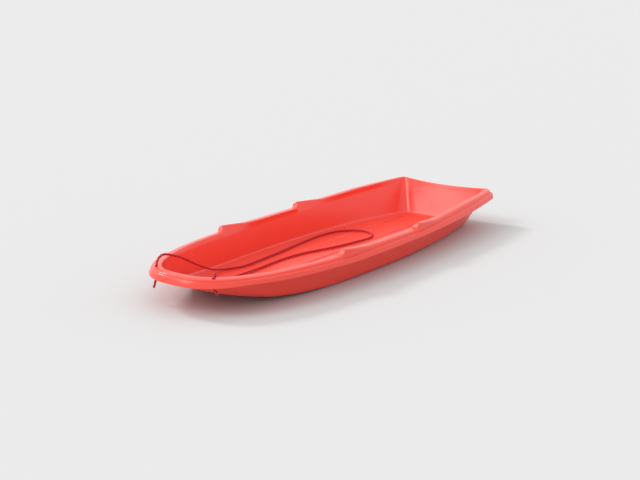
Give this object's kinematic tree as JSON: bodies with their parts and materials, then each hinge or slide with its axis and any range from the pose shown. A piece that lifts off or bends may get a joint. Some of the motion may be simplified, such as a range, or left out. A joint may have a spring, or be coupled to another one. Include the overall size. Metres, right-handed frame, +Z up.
{
  "type": "snow sled",
  "caption": "Long one-piece moulded plastic snow sled with a scooped nose, stepped rolled rim, grooved floor and a knotted tow rope lying inside.",
  "frame": {"origin": "on the ground under the middle of the hull's bounding box", "axes": "+Y from the nose to the transom, +X to the right-hand side of someone looking from the nose to the transom, +Z up"},
  "size_m": [0.44, 1.2064, 0.1139],
  "materials": {
    "hull_plastic": "moulded polyethylene, satin",
    "rope_fibre": "twisted polypropylene cord"
  },
  "bodies": {
    "root": {"hull": "hull_plastic", "tow_rope": "rope_fibre", "knot_left": "rope_fibre", "knot_right": "rope_fibre", "rope_tail_left": "rope_fibre", "rope_tail_right": "rope_fibre"}
  },
  "joints": []
}
